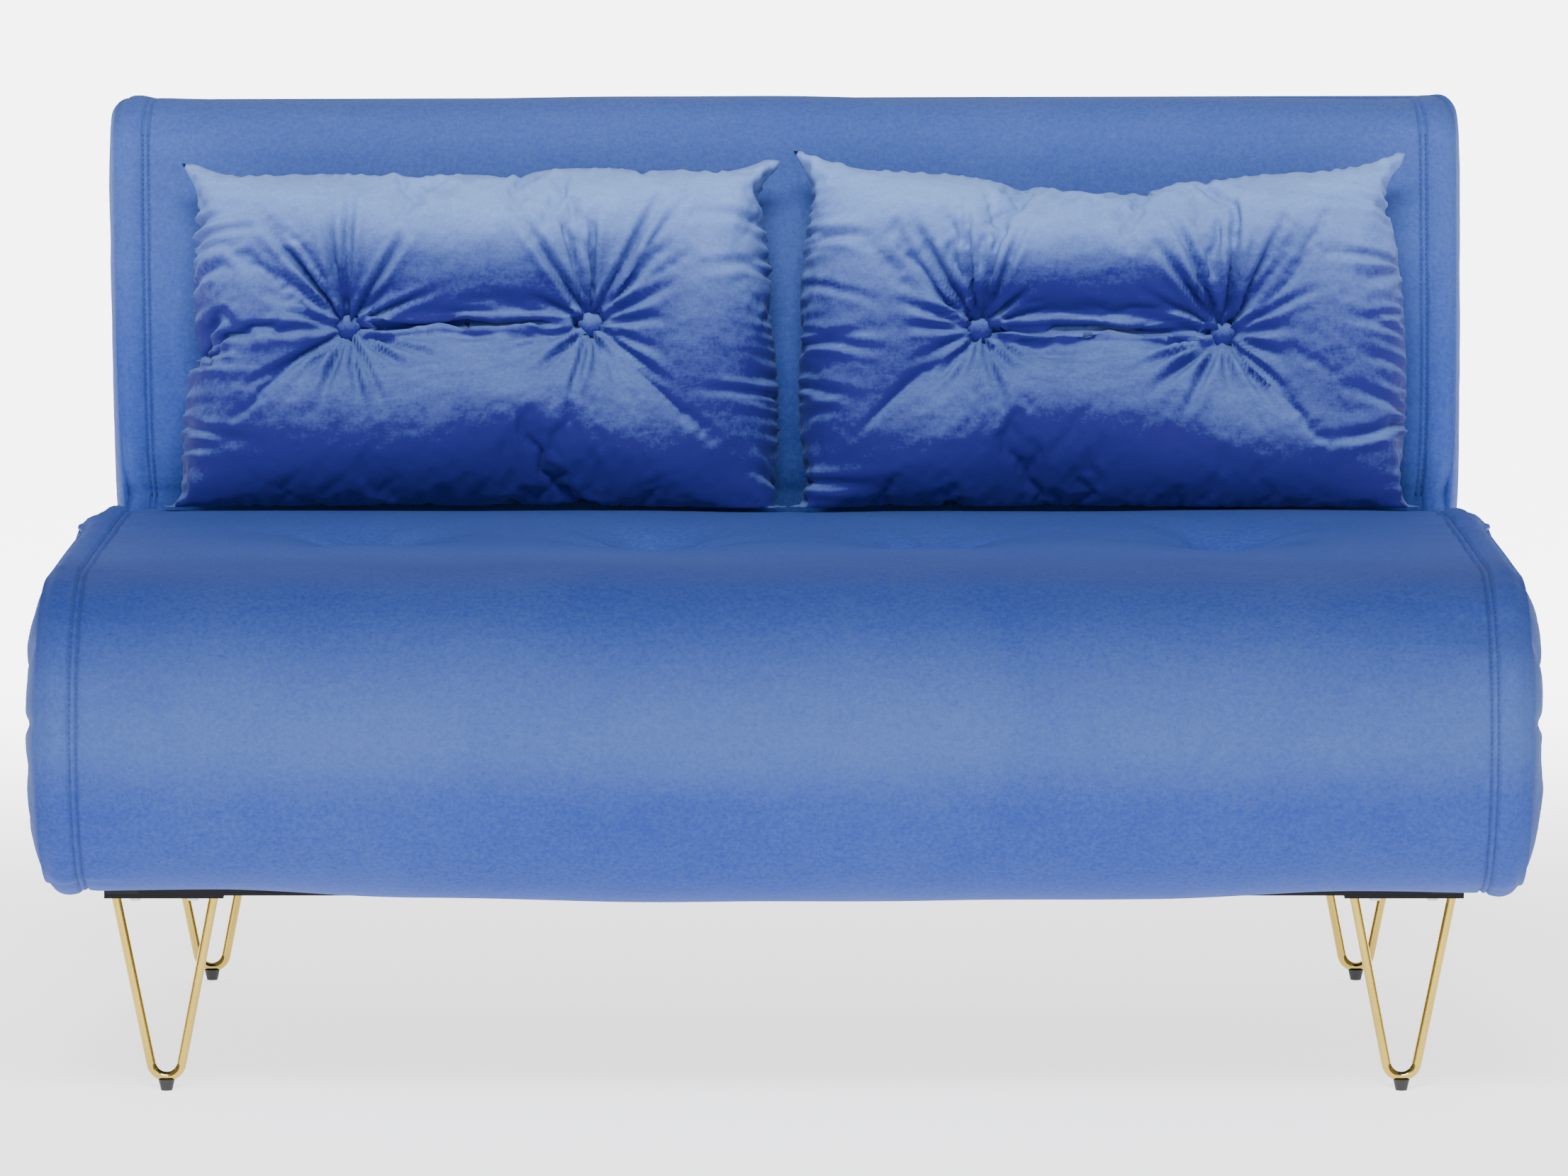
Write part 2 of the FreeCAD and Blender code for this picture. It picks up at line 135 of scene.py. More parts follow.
def mattress_profile():
    """Outer and inner points of each cross-section, from the top of the back to the folded foot."""
    slope = math.tan(TILT / 2)
    outer, inner = [], []
    mid_n, half_n = (THICK_LOW + THICK_HIGH) / 2, (THICK_HIGH - THICK_LOW) / 2
    for a in np.linspace(math.pi / 2, 0, 15):
        s = BACK_LENGTH - BACK_CAP + BACK_CAP * math.sin(a)
        h = half_n * max(math.cos(a), 0) ** 0.8
        outer.append(on_back(s, mid_n + h))
        inner.append(on_back(s, mid_n - h))
    top0, top1 = BACK_LENGTH - BACK_CAP, THICK_HIGH * slope
    bottom1 = THICK_LOW * slope
    count = int((top0 - top1) / STATION_STEP)
    for i in range(1, count + 1):
        f = i / count
        ease = f ** 1.3
        outer.append(on_back(top0 + (top1 - top0) * f, THICK_HIGH))
        inner.append(on_back(top0 + (top1 - top0) * f + (bottom1 - top1) * ease, THICK_LOW))
    crease = len(outer) - 1
    seat_out1 = PIVOT[0] - THICK_HIGH * slope
    seat_in1 = PIVOT[0] - THICK_LOW * slope
    count = int((seat_out1 - ROLL_DEPTH) / STATION_STEP)
    for i in range(1, count + 1):
        f = i / count
        ease = (1 - f) ** 1.3
        d = seat_out1 + (ROLL_DEPTH - seat_out1) * f
        outer.append((d, SEAT_TOP))
        inner.append((d + (seat_in1 - seat_out1) * ease, SEAT_UNDER))
    count = 84
    ring = resample(superellipse(ROLL_DEPTH, (SEAT_TOP - FOOT_UNDER) / 2, ROLL_POWER, 400), count)
    hub = resample(superellipse(ROLL_INNER, (SEAT_UNDER - FOOT_OVER) / 2, HUB_POWER, 200), count)
    outer += [tuple(p) for p in ring[1:]]
    inner += [tuple(p) for p in hub[1:]]
    fold_end = len(outer) - 1
    count = int((FOOT_END - FOOT_CAP - ROLL_DEPTH) / FOOT_STEP)
    for i in range(1, count + 1):
        d = ROLL_DEPTH + (FOOT_END - FOOT_CAP - ROLL_DEPTH) * i / count
        outer.append((d, FOOT_UNDER))
        inner.append((d, FOOT_OVER))
    mid, half = (FOOT_UNDER + FOOT_OVER) / 2, (FOOT_OVER - FOOT_UNDER) / 2
    for a in np.linspace(0, math.pi / 2, 10)[1:]:
        d = FOOT_END - FOOT_CAP + FOOT_CAP * math.sin(a)
        h = half * max(math.cos(a), 0) ** 0.8
        outer.append((d, mid - h))
        inner.append((d, mid + h))
    return np.array(outer), np.array(inner), crease, fold_end


def fbm(points, scale, octaves=3, seed=0.0):
    """Fractal noise at many points."""
    shift = Vector((seed, seed * 1.7, -seed))
    out = np.empty(len(points))
    for i, p in enumerate(points):
        v = Vector(p) * scale + shift
        out[i] = sum(noise.noise(v * 2 ** k) / 2 ** k for k in range(octaves))
    return out


def half_ring():
    """Half a cross-section as (x, share of thickness, outward lift, sideways bulge)."""
    rows = []
    for x in np.linspace(0, SEAM_X - 0.020, 58):
        rows.append((x, 1, 0, 0))
    for off in SEAM_COLUMNS:
        x = SEAM_X + off
        groove = -0.0024 * math.exp(-((abs(off) - STITCH_OFF) / 0.0010) ** 2)
        groove -= 0.0010 * math.exp(-(off / 0.007) ** 2)
        puff = 0.0030 * math.sin(math.pi * min(max((x - SEAM_X) / (EDGE_X - SEAM_X), 0), 1)) ** 0.8
        drop = -0.0065 * max((x - (EDGE_X - 0.016)) / 0.016, 0) ** 2
        rows.append((x, 1, groove + puff + drop, 0))
    rows.append((EDGE_X - 0.0012, 1, -0.0062, 0))
    rows.append((EDGE_X + 0.0018, 1, -0.0070, 0))
    rows.append((EDGE_X + 0.0022, 1, -0.0092, 0))
    rows.append((EDGE_X - 0.0016, 1, -0.0112, 0))
    top = list(rows)
    box_count = 22
    side = []
    for i in range(box_count):
        f = (i + 0.5) / box_count
        side.append((EDGE_X, 1 - f, 0, BULGE * math.sin(math.pi * f) ** 0.6))
    low = [(x, 0, lift, b) for x, t, lift, b in top[::-1]]
    return top, side, low


def build_mattress():
    """One skin round the folded mattress, with its seams, tufts, gathers and topstitching."""
    outer, inner, crease, fold_end = mattress_profile()
    stations = len(outer)
    thick = np.linalg.norm(outer - inner, axis=1)
    steps = np.linalg.norm(np.diff(outer, axis=0), axis=1)
    along = np.concatenate([[0], np.cumsum(steps)])
    tangent = np.gradient(outer, axis=0)
    tangent /= np.linalg.norm(tangent, axis=1)[:, None] + 1e-9
    normal = np.stack([-tangent[:, 1], tangent[:, 0]], 1)
    across = (outer - inner) / (thick[:, None] + 1e-9)
    normal *= np.sign(np.sum(normal * across, axis=1))[:, None]
    normal[thick < 1e-4] = normal[np.argmax(thick > 1e-4)]
    in_tangent = np.gradient(inner, axis=0)
    in_tangent /= np.linalg.norm(in_tangent, axis=1)[:, None] + 1e-9
    in_normal = np.stack([-in_tangent[:, 1], in_tangent[:, 0]], 1)
    in_normal *= np.sign(np.sum(in_normal * -across, axis=1))[:, None]
    # the bisector at the crease
    for i in range(crease - 1, crease + 2):
        normal[i] = across[crease]
    near = np.abs(along - along[crease])
    dip = 0.030 * np.exp(-near / 0.014) + 0.010 * np.exp(-near / 0.05)
    close_end = np.clip(thick / 0.08, 0, 1)

    top, side, low = half_ring()
    half = top + side + low
    ring = half + [(-x, t, lift, b) for x, t, lift, b in half[-2:0:-1]]
    ring = np.array(ring)
    n_ring = len(ring)
    sx = np.sign(ring[:, 0])
    verts = np.zeros((stations, n_ring, 3))
    is_top = ring[:, 1] == 1
    is_low = ring[:, 1] == 0
    is_side = ~(is_top | is_low)
    end_round = np.clip(along / 0.075, 0, 1)
    shrink = 0.022 * (1 - np.sqrt(np.clip(1 - (1 - end_round) ** 2, 0, 1)))
    tail = along[-1] - along
    tail_round = np.clip(tail / 0.05, 0, 1)
    shrink += 0.015 * (1 - np.sqrt(np.clip(1 - (1 - tail_round) ** 2, 0, 1)))
    # the cover narrows a little up the back
    up_back = smooth(along[crease], along[crease] - 0.42, along)
    on_back_part = smooth(along[crease] + 0.012, along[crease] - 0.012, along)
    pinch = 0.008 * np.exp(-np.abs(along - along[crease]) / 0.055)
    for i in range(stations):
        t = ring[:, 1]
        base = inner[i] + (outer[i] - inner[i]) * t[:, None]
        lift = ring[:, 2] * close_end[i]
        base = base + np.where(is_top, lift - dip[i], 0)[:, None] * normal[i]
        base = base + np.where(is_low, lift, 0)[:, None] * in_normal[i]
        squeeze = 0.0115 * close_end[i]
        f = np.clip(t, 0, 1)
        inset = np.where(is_side, (1 - 2 * f) * squeeze, 0)
        base = base + inset[:, None] * across[i]
        base = base - np.where(is_side, dip[i] * f, 0)[:, None] * across[i]
        x = ring[:, 0] + sx * ring[:, 3] * close_end[i] - sx * shrink[i] * np.abs(ring[:, 0] / EDGE_X) ** 3
        narrow = on_back_part[i] * (0.011 - 0.002 * up_back[i]) + pinch[i]
        narrow = narrow + np.where(sx < 0, on_back_part[i] * 0.006 * (1 - up_back[i]), 0)
        x = x - sx * narrow * (np.abs(ring[:, 0]) / EDGE_X) ** 6
        verts[i, :, 0] = x
        verts[i, :, 1] = base[:, 0]
        verts[i, :, 2] = base[:, 1]

    u = along[:, None] * np.ones((1, n_ring))
    x_abs = np.abs(ring[:, 0])[None, :] * np.ones((stations, 1))
    push = np.zeros((stations, n_ring))
    flat = verts.reshape(-1, 3)
    slow = fbm(flat, 3.2, 2, 3.1).reshape(stations, n_ring)
    push += 0.0032 * slow * is_top
    # drag lines that cross the band, strongest beside the crease and round the front
    keyed = np.stack([u.ravel() * 34, np.sign(flat[:, 0]) * 5 + x_abs.ravel() * 3, np.zeros(len(flat))], 1)
    ripple = fbm(keyed, 1.0, 2, 8.4).reshape(stations, n_ring)
    band = smooth(SEAM_X - 0.055, SEAM_X - 0.004, x_abs) * smooth(EDGE_X + 0.003, EDGE_X - 0.010, x_abs)
    seam_hold = 1 - 0.85 * np.exp(-((x_abs - SEAM_X) / 0.004) ** 2)
    fold = 1 + 2.3 * np.exp(-near / 0.07)[:, None]
    push += 0.0026 * ripple * band * seam_hold * is_top * fold
    short = np.stack([u.ravel() * 95, np.sign(flat[:, 0]) * 9, x_abs.ravel() * 2], 1)
    pucker = fbm(short, 1.0, 1, 1.3).reshape(stations, n_ring)
    push += 0.0012 * pucker * np.exp(-((x_abs - SEAM_X) / 0.009) ** 2) * is_top

    d_all = outer[:, 0]
    seat_rows = (np.arange(stations) > crease) & (outer[:, 1] > SEAT_TOP - 0.002)
    for tx, wobble in TUFTS:
        dx = verts[:, :, 0] - tx
        dd = (d_all - (TUFT_DEPTH + wobble))[:, None]
        r = np.sqrt(dx ** 2 + (dd * 0.95) ** 2)
        angle = np.arctan2(dd, dx)
        rays = 1 + 0.16 * np.cos(angle * 5 + tx * 40) + 0.08 * np.cos(angle * 9 - tx * 15)
        pull = 0.0270 * np.exp(-(r / (0.038 * rays)) ** 1.5) + 0.0060 * np.exp(-(r / 0.090) ** 2)
        push -= pull * (is_top[None, :] & seat_rows[:, None])

    # the front roll gathers at its sides
    side_f = np.sin(np.pi * np.clip(ring[:, 1], 0, 1)) * is_side
    keyed = np.stack([u.ravel() * 13, np.sign(flat[:, 0]) * 4, np.tile(ring[:, 1] * 1.2, stations)], 1)
    gather = fbm(keyed, 1.0, 3, 5.7).reshape(stations, n_ring)
    on_roll = smooth(along[crease] + 0.30, along[crease] + 0.50, along)
    on_roll = on_roll * smooth(along[fold_end] + 0.15, along[fold_end], along)
    sideways = 0.0012 * gather * side_f[None, :] * (1 + 1.6 * on_roll[:, None])
    sideways += 0.0040 * on_roll[:, None] * side_f[None, :]
    deep = np.zeros(stations)
    for place, size in ((0.62, 1.0), (0.70, 0.8)):
        deep += size * np.exp(-((along - along[crease] - place) / 0.009) ** 2)
    sideways -= 0.0048 * deep[:, None] * side_f[None, :] * (1 + 0.4 * gather)
    # the boxing folds out where it leaves the crease
    flap = 0.0075 * np.exp(-((along - along[crease] - 0.125) / 0.028) ** 2)[:, None]
    flap = flap * smooth(SEAM_X, EDGE_X, x_abs) * np.where(is_low, 0, 1)[None, :]
    verts[:, :, 0] += np.sign(ring[:, 0])[None, :] * flap
    verts[:, :, 0] += np.sign(ring[:, 0])[None, :] * sideways
    verts[:, :, 1] += push * normal[:, 0][:, None]
    verts[:, :, 2] += push * normal[:, 1][:, None]

    # the underside of the roll sags between the legs, and the top corners stand up a little
    sag = 0.0055 * smooth(0.47, 0.30, np.abs(verts[:, :, 0])) * smooth(0.215, 0.10, outer[:, 0])[:, None]
    sag *= smooth(FOOT_UNDER + 0.07, FOOT_UNDER, outer[:, 1])[:, None] * is_top[None, :]
    verts[:, :, 2] -= sag
    corner = np.exp(-along / 0.06)[:, None] * smooth(SEAM_X - 0.045, EDGE_X - 0.006, np.abs(verts[:, :, 0]))
    rise = np.where(verts[:, :, 0] > 0, 0.0060, 0.0012) * corner
    verts[:, :, 1] += rise * UP[0]
    verts[:, :, 2] += rise * UP[1]

    verts[:, :, 1] += FRONT
    points = [tuple(p) for p in verts.reshape(-1, 3)]
    faces = []
    for i in range(stations - 1):
        for j in range(n_ring):
            k = (j + 1) % n_ring
            a, b = i * n_ring + j, i * n_ring + k
            faces.append((a, a + n_ring, b + n_ring, b))
    faces.append(tuple(range(n_ring)))
    faces.append(tuple((stations - 1) * n_ring + j for j in reversed(range(n_ring))))
    material = [0] * len(faces)

    # a row of topstitching on each side of both long seams
    rows = []
    for target in (SEAM_X - STITCH_OFF, SEAM_X + STITCH_OFF):
        col = min(range(len(top)), key=lambda j: abs(top[j][0] - target))
        rows += [col, n_ring - col]
    normal3 = np.stack([np.zeros(stations), normal[:, 0], normal[:, 1]], 1)
    for col in rows:
        add_stitches(points, faces, material, verts[:, col % n_ring], normal3, along, 12, stations - 12)
    mesh = bpy.data.meshes.new("mattress")
    mesh.from_pydata(points, [], faces)
    mesh.update()
    obj = bpy.data.objects.new("mattress", mesh)
    bpy.context.scene.collection.objects.link(obj)
    mesh.materials.append(VELVET)
    mesh.materials.append(THREAD)
    mesh.polygons.foreach_set("material_index", material)
    mesh.polygons.foreach_set("use_smooth", [True] * len(faces))
    for f in mesh.polygons[(stations - 1) * n_ring:(stations - 1) * n_ring + 2]:
        f.use_smooth = False
    mesh.update()
    return obj


def add_stitches(points, faces, material, line, normals, along, first, last, pitch=STITCH_PITCH):
    """Short raised threads along a line of points."""
    start = along[first]
    while start + pitch < along[last]:
        ends = []
        for at in (start + 0.0006, start + pitch - 0.0006):
            p = np.array([np.interp(at, along, line[:, c]) for c in range(3)])
            n = np.array([np.interp(at, along, normals[:, c]) for c in range(3)])
            ends.append((p, n))
        (p0, n0), (p1, n1) = ends
        t = (p1 - p0) / (np.linalg.norm(p1 - p0) + 1e-9)
        n0 = n0 / (np.linalg.norm(n0) + 1e-9)
        b = np.cross(t, n0)
        base = len(points)
        r = THREAD_RADIUS
        mid = (p0 + p1) / 2
        sections = ((p0, 0.25, -0.0002), (mid * 0.35 + p0 * 0.65, 1.0, 0.0003),
                    (mid * 0.35 + p1 * 0.65, 1.0, 0.0003), (p1, 0.25, -0.0002))
        for centre, size, lift in sections:
            for k in range(5):
                a = 2 * math.pi * k / 5
                out = n0 * (lift + r * size * math.cos(a))
                points.append(tuple(centre + out + b * r * size * math.sin(a)))
        for row in range(3):
            for k in range(5):
                a, c = base + row * 5 + k, base + row * 5 + (k + 1) % 5
                faces.append((a, c, c + 5, a + 5))
                material.append(1)
        faces.append(tuple(base + k for k in range(5)))
        faces.append(tuple(base + 15 + k for k in reversed(range(5))))
        material += [1, 1]
        start += pitch


# ---- materials ------------------------------------------------------------------------------

def new_material(name):
    """A material, its node tree and its Principled node."""
    m = bpy.data.materials.new(name)
    m.use_nodes = True
    return m, m.node_tree, m.node_tree.nodes["Principled BSDF"]


def add(tree, kind, **inputs):
    """A new node with these values on its inputs."""
    n = tree.nodes.new(kind)
    for key, value in inputs.items():
        key = key.replace("_", " ")
        if key in n.inputs:
            n.inputs[key].default_value = value
    return n


def ramp(tree, stops):
    """A Color Ramp node with (place, colour) stops."""
    n = tree.nodes.new("ShaderNodeValToRGB")
    while len(n.color_ramp.elements) < len(stops):
        n.color_ramp.elements.new(0.5)
    for e, (at, c) in zip(n.color_ramp.elements, stops):
        e.position = at
        e.color = (*c, 1)
    return n


def coords(tree):
    return tree.nodes.new("ShaderNodeTexCoord").outputs["Object"]


def math_node(tree, operation, first, second):
    """A Math node; each argument is a socket or a number."""
    n = tree.nodes.new("ShaderNodeMath")
    n.operation = operation
    for place, value in zip(n.inputs, (first, second)):
        if isinstance(value, (int, float)):
            place.default_value = value
        else:
            tree.links.new(value, place)
    return n.outputs[0]


def mix_colour(tree, factor, first, second, how="MIX"):
    """A colour Mix node; each argument is a socket, a number or a colour."""
    n = tree.nodes.new("ShaderNodeMix")
    n.data_type = "RGBA"
    n.blend_type = how
    for place, value in zip((n.inputs[0], n.inputs[6], n.inputs[7]), (factor, first, second)):
        if isinstance(value, (int, float)):
            place.default_value = value
        elif isinstance(value, tuple):
            place.default_value = (*value, 1)
        else:
            tree.links.new(value, place)
    return n.outputs[2]


def fade(tree, at, axis, start, end):
    """0 at start to 1 at end along an axis, softly."""
    split = tree.nodes.new("ShaderNodeSeparateXYZ")
    tree.links.new(at, split.inputs[0])
    n = tree.nodes.new("ShaderNodeMapRange")
    n.interpolation_type = "SMOOTHSTEP"
    n.inputs["From Min"].default_value = start
    n.inputs["From Max"].default_value = end
    tree.links.new(split.outputs[axis], n.inputs["Value"])
    return n.outputs["Result"]


def velvet(name, tones, sheen, painted_shading, grain, lift=0.0):
    """Short pile, with painted light and shade. tones: the shaded and the lit colour, mixed by the painted shading
    and a random mottle; the fourth argument: where light and shade are painted; lift: painted light, how much
    paler the colour is made further back.
    """
    m, tree, bsdf = new_material(name)
    at = coords(tree)
    cloud = add(tree, "ShaderNodeTexNoise", Scale=4.5, Detail=4.0, Roughness=0.6, Distortion=0.6)
    streak = add(tree, "ShaderNodeTexNoise", Scale=1.0, Detail=5.0, Roughness=0.7, Distortion=0.5)
    nap = add(tree, "ShaderNodeTexNoise", Scale=1500.0, Detail=2.0, Roughness=0.6)
    stretch = tree.nodes.new("ShaderNodeMapping")
    stretch.inputs["Scale"].default_value = (24.0, 85.0, 85.0)
    tree.links.new(at, stretch.inputs["Vector"])
    tree.links.new(stretch.outputs["Vector"], streak.inputs["Vector"])
    for n in (cloud, nap):
        tree.links.new(at, n.inputs["Vector"])
    mottle = math_node(tree, "MULTIPLY", cloud.outputs["Fac"], 0.6)
    both = math_node(tree, "ADD", mottle, math_node(tree, "MULTIPLY", streak.outputs["Fac"], 0.4))
    uneven = math_node(tree, "MULTIPLY", math_node(tree, "SUBTRACT", both, 0.5), 0.85)
    fleck = add(tree, "ShaderNodeTexNoise", Scale=260.0, Detail=3.0, Roughness=0.75)
    tree.links.new(at, fleck.inputs["Vector"])
    flecks = math_node(tree, "MULTIPLY", math_node(tree, "SUBTRACT", fleck.outputs["Fac"], 0.5), grain)
    uneven = math_node(tree, "ADD", uneven, flecks)
    # painted light and shade, plus the random mottle, pick the mix between the two tones
    share = math_node(tree, "ADD", painted_shading(tree, at), uneven)
    share.node.use_clamp = True
    colour = mix_colour(tree, share, *tones)
    tone = ramp(tree, ((0.32, (0.62, 0.62, 0.66)), (0.68, (1.0, 1.0, 1.0))))
    tree.links.new(nap.outputs["Fac"], tone.inputs["Fac"])
    colour = mix_colour(tree, 0.5, colour, tone.outputs["Color"], "MULTIPLY")
    stronger = tree.nodes.new("ShaderNodeVectorMath")
    stronger.operation = "SCALE"
    tree.links.new(colour, stronger.inputs[0])
    # painted light: the colour is scaled paler from the front roll backwards, lifting the seat and backrest out of
    # the cushions' shade
    painted_gain = math_node(tree, "MULTIPLY", fade(tree, at, 1, FRONT + 0.08, FRONT + 0.26), lift)
    tree.links.new(math_node(tree, "ADD", painted_gain, 1.0), stronger.inputs["Scale"])
    tree.links.new(stronger.outputs["Vector"], bsdf.inputs["Base Color"])
    rough = add(tree, "ShaderNodeMapRange")
    rough.inputs["To Min"].default_value = 0.55
    rough.inputs["To Max"].default_value = 0.75
    tree.links.new(streak.outputs["Fac"], rough.inputs["Value"])
    tree.links.new(rough.outputs["Result"], bsdf.inputs["Roughness"])
    bump = add(tree, "ShaderNodeBump", Strength=0.35, Distance=0.0006)
    tree.links.new(nap.outputs["Fac"], bump.inputs["Height"])
    soft = add(tree, "ShaderNodeBump", Strength=0.12, Distance=0.003)
    tree.links.new(streak.outputs["Fac"], soft.inputs["Height"])
    tree.links.new(bump.outputs["Normal"], soft.inputs["Normal"])
    tree.links.new(soft.outputs["Normal"], bsdf.inputs["Normal"])
    bsdf.inputs["Sheen Weight"].default_value = sheen
    bsdf.inputs["Sheen Roughness"].default_value = 0.45
    bsdf.inputs["Sheen Tint"].default_value = (0.30, 0.46, 1.0, 1)
    bsdf.inputs["Specular IOR Level"].default_value = 0.06
    return m


def mattress_painted_light(tree, at):
    """Painted light and shade: the front of the roll is painted palest at about mid height and darker above and
    below it, the seat a little paler further back, and the backrest paler higher up.
    """
    front = fade(tree, at, 1, FRONT + 0.230, FRONT + 0.090)
    down = fade(tree, at, 2, SEAT_TOP + 0.010, SEAT_TOP - 0.120)
    low = fade(tree, at, 2, SEAT_TOP - 0.125, SEAT_TOP - 0.190)
    roll = math_node(tree, "SUBTRACT", down, math_node(tree, "MULTIPLY", low, 0.85))
    roll = math_node(tree, "MULTIPLY", front, roll)
    back = fade(tree, at, 2, SEAT_TOP + 0.03, SEAT_TOP + 0.25)
    most = math_node(tree, "MAXIMUM", roll, math_node(tree, "MULTIPLY", back, 0.70))
    seat = math_node(tree, "MULTIPLY", fade(tree, at, 1, FRONT + 0.10, FRONT + 0.26), 0.14)
    most = math_node(tree, "MAXIMUM", math_node(tree, "MULTIPLY", most, 0.64), seat)
    return math_node(tree, "ADD", most, 0.20)


def cushion_painted_light(tree, at):
    """Painted light and shade: the cover is painted pale where it faces up and higher up the cushion, and deep
    blue where it faces down.
    """
    rise = fade(tree, at, 2, SEAT_TOP + 0.12, SEAT_TOP + 0.34)
    slope = fade(tree, tree.nodes.new("ShaderNodeTexCoord").outputs["Normal"], 2, -0.40, 1.02)
    rise = math_node(tree, "MULTIPLY", rise, 0.62)
    slope = math_node(tree, "MULTIPLY", slope, 0.56)
    return math_node(tree, "SUBTRACT", math_node(tree, "ADD", rise, slope), 0.16)


def metal(name, colour, rough, metallic=1.0, grain=220.0, strength=0.05, shine=0.5):
    """Metal, or with metallic=0 paint, plastic or rubber, with a fine grain and slight wear."""
    m, tree, bsdf = new_material(name)
    at = coords(tree)
    n = add(tree, "ShaderNodeTexNoise", Scale=grain, Detail=3.0, Roughness=0.6)
    wear = add(tree, "ShaderNodeTexNoise", Scale=14.0, Detail=3.0, Roughness=0.5)
    tree.links.new(at, n.inputs["Vector"])
    tree.links.new(at, wear.inputs["Vector"])
    c = ramp(tree, ((0.3, [v * 0.86 for v in colour]), (0.7, [min(v * 1.1, 1) for v in colour])))
    tree.links.new(wear.outputs["Fac"], c.inputs["Fac"])
    tree.links.new(c.outputs["Color"], bsdf.inputs["Base Color"])
    r = add(tree, "ShaderNodeMapRange")
    r.inputs["To Min"].default_value = rough * 0.8
    r.inputs["To Max"].default_value = rough * 1.25
    tree.links.new(wear.outputs["Fac"], r.inputs["Value"])
    tree.links.new(r.outputs["Result"], bsdf.inputs["Roughness"])
    b = add(tree, "ShaderNodeBump", Strength=strength, Distance=0.0004)
    tree.links.new(n.outputs["Fac"], b.inputs["Height"])
    tree.links.new(b.outputs["Normal"], bsdf.inputs["Normal"])
    bsdf.inputs["Metallic"].default_value = metallic
    bsdf.inputs["Specular IOR Level"].default_value = shine
    return m


def wood():
    """Pale birch with its grain along the slats."""
    m, tree, bsdf = new_material("slat_birch")
    at = coords(tree)
    stretch = add(tree, "ShaderNodeMapping")
    stretch.inputs["Scale"].default_value = (1.2, 26, 40)
    tree.links.new(at, stretch.inputs["Vector"])
    grain = add(tree, "ShaderNodeTexNoise", Scale=6.0, Detail=6.0, Roughness=0.6, Distortion=0.6)
    tree.links.new(stretch.outputs["Vector"], grain.inputs["Vector"])
    c = ramp(tree, ((0.3, (0.42, 0.27, 0.14)), (0.55, (0.66, 0.48, 0.29)), (0.75, (0.76, 0.60, 0.40))))
    tree.links.new(grain.outputs["Fac"], c.inputs["Fac"])
    tree.links.new(c.outputs["Color"], bsdf.inputs["Base Color"])
    bsdf.inputs["Roughness"].default_value = 0.55
    b = add(tree, "ShaderNodeBump", Strength=0.15, Distance=0.0006)
    tree.links.new(grain.outputs["Fac"], b.inputs["Height"])
    tree.links.new(b.outputs["Normal"], bsdf.inputs["Normal"])
    return m


def felt(name, colour):
    """Matted fibres."""
    m, tree, bsdf = new_material(name)
    at = coords(tree)
    fibre = add(tree, "ShaderNodeTexVoronoi", Scale=420.0)
    mottle = add(tree, "ShaderNodeTexNoise", Scale=60.0, Detail=5.0, Roughness=0.7)
    tree.links.new(at, fibre.inputs["Vector"])
    tree.links.new(at, mottle.inputs["Vector"])
    c = ramp(tree, ((0.3, [v * 0.6 for v in colour]), (0.7, [v * 1.7 for v in colour])))
    tree.links.new(mottle.outputs["Fac"], c.inputs["Fac"])
    tree.links.new(c.outputs["Color"], bsdf.inputs["Base Color"])
    bsdf.inputs["Roughness"].default_value = 0.9
    b = add(tree, "ShaderNodeBump", Strength=0.4, Distance=0.0005)
    tree.links.new(fibre.outputs["Distance"], b.inputs["Height"])
    tree.links.new(b.outputs["Normal"], bsdf.inputs["Normal"])
    return m


# Shaded and lit ends of each velvet's colour: painted light and shade and a random mottle mix between them; the
# mattress's last number paints it paler further back.
MATTRESS_TONES = ((0.018, 0.042, 0.235), (0.058, 0.103, 0.300))
CUSHION_TONES = ((0.019, 0.021, 0.185), (0.250, 0.430, 0.900))
VELVET = velvet("velvet_blue", MATTRESS_TONES, 0.10, mattress_painted_light, 1.15, 0.42)
CUSHION_VELVET = velvet("velvet_blue_cushion", CUSHION_TONES, 0.16, cushion_painted_light, 0.30)
THREAD, thread_tree, thread_bsdf = new_material("thread_blue")
twist = add(thread_tree, "ShaderNodeTexWave", Scale=900.0, Distortion=1.0)
thread_tree.links.new(coords(thread_tree), twist.inputs["Vector"])
thread_colour = ramp(thread_tree, ((0.2, (0.006, 0.014, 0.075)), (0.8, (0.020, 0.040, 0.170))))
thread_tree.links.new(twist.outputs["Fac"], thread_colour.inputs["Fac"])
thread_tree.links.new(thread_colour.outputs["Color"], thread_bsdf.inputs["Base Color"])
thread_bsdf.inputs["Roughness"].default_value = 0.5

FINISHES = {
    "gold_metal": metal("gold_plate", (0.50, 0.35, 0.07), 0.12),
    "rubber": metal("rubber_black", (0.012, 0.012, 0.012), 0.6, metallic=0.0, grain=500.0, strength=0.2),
    "black_plastic": metal("plastic_black", (0.012, 0.012, 0.012), 0.5, metallic=0.0, grain=700.0,
                           strength=0.15, shine=0.2),
    "slat_wood": wood(),
    "dust_cloth": felt("dust_cloth_black", (0.010, 0.010, 0.012)),
    "zinc_steel": metal("zinc", (0.56, 0.57, 0.58), 0.35),
    "black_steel": metal("powder_black", (0.011, 0.011, 0.012), 0.5, metallic=0.0, grain=900.0,
                         strength=0.3, shine=0.12),
    "tuft_cord": felt("tuft_cord", (0.02, 0.04, 0.12)),
    "velvet": VELVET,
    "velvet_cushions": CUSHION_VELVET,
    "velvet_buttons": CUSHION_VELVET,
}
for part in frame["record"]["subparts"]:
    node = frame["nodes"][part["node"]]
    for place in node.material_slots:
        place.material = FINISHES[part["material_slot"]]

# ---- mattress -------------------------------------------------------------------------------
mattress = build_mattress()
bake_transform(mattress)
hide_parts("seat_mattress", "front_roll_mattress", "foot_mattress", "back_mattress")


